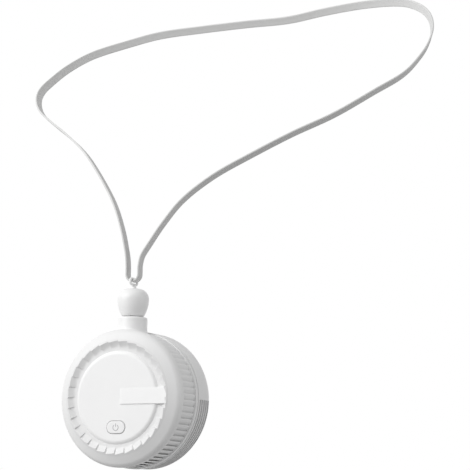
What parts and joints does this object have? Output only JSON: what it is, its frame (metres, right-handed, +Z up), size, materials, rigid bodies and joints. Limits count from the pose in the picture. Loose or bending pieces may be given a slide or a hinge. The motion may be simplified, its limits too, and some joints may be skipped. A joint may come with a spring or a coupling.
{
  "type": "electric neck fan",
  "caption": "Drum-shaped personal fan with side outlet slots and rear intake louvres, hung from a flat neck strap by an eyelet and a swivelling ball knob.",
  "frame": {"origin": "the middle of the strap where it rests on the back of the neck", "axes": "+Z up; -Y forward, the way the fan's face looks; +X to the left of the wearer, the right of the picture"},
  "size_m": [0.2369, 0.1748, 0.2618],
  "materials": {
    "strap": "woven flat cord, very fine diagonal weave",
    "knob_white": "polished moulding",
    "shell_white": "satin moulding",
    "face_white": "satin moulding",
    "button_white": "satin moulding",
    "wheel_white": "moulded, unpainted",
    "steel": "plain",
    "brass": "turned",
    "motor_alloy": "die cast",
    "lamination": "epoxy coated stack",
    "copper_wire": "enamelled copper wire",
    "magnet": "bonded ferrite",
    "circuit_board": "solder mask",
    "switch_case": "stamped",
    "black_plastic": "moulded",
    "cell_foil": "foil pouch",
    "foam": "foam tape",
    "lead_sleeve": "insulated wire"
  },
  "bodies": {
    "strap": {"lanyard": "strap", "strap_end": "strap"},
    "knob": {"ball_knob": "knob_white", "swivel_pin": "steel", "retaining_clip": "steel"},
    "housing": {"front_shell": "shell_white", "fluted_ring": "face_white", "face_disc": "face_white", "face_bar": "face_white", "seam_ring": "face_white", "rear_shell": "shell_white", "neck_collar": "shell_white", "swivel_bush": "brass", "switch_board": "circuit_board", "tact_switch": "switch_case", "board_screws": "steel", "mid_frame": "shell_white", "frame_screws": "steel", "shell_screws": "steel", "motor_base": "motor_alloy", "front_bearing": "steel", "rear_bearing": "steel", "stator_core": "lamination", "stator_windings": "copper_wire", "main_board": "circuit_board", "usb_socket": "steel", "battery_cell": "cell_foil", "battery_pad": "foam", "battery_leads": "lead_sleeve", "motor_leads": "lead_sleeve", "switch_leads": "lead_sleeve"},
    "button": {"power_button": "button_white", "switch_plunger": "black_plastic"},
    "rotor": {"blower_wheel": "wheel_white", "rotor_cup": "steel", "magnet_ring": "magnet", "rotor_shaft": "steel"}
  },
  "joints": [
    {"name": "eyelet_swing", "type": "hinge", "parent": "strap", "child": "knob", "pos_m": [0, -0.158, -0.16505], "axis": [0, 1, 0], "range_deg": [-35, 35]},
    {"name": "neck_swivel", "type": "hinge", "parent": "knob", "child": "housing", "pos_m": [0, -0.158, -0.184], "axis": [0, 0, 1], "continuous": true},
    {"name": "button_press", "type": "slide", "parent": "housing", "child": "button", "axis": [0, 1, 0], "range_m": [0, 0.0005], "stiffness_N_per_m": 300, "springref_m": -0.004},
    {"name": "fan_spin", "type": "hinge", "parent": "housing", "child": "rotor", "pos_m": [0, -0.158, -0.224], "axis": [0, 1, 0], "continuous": true}
  ]
}
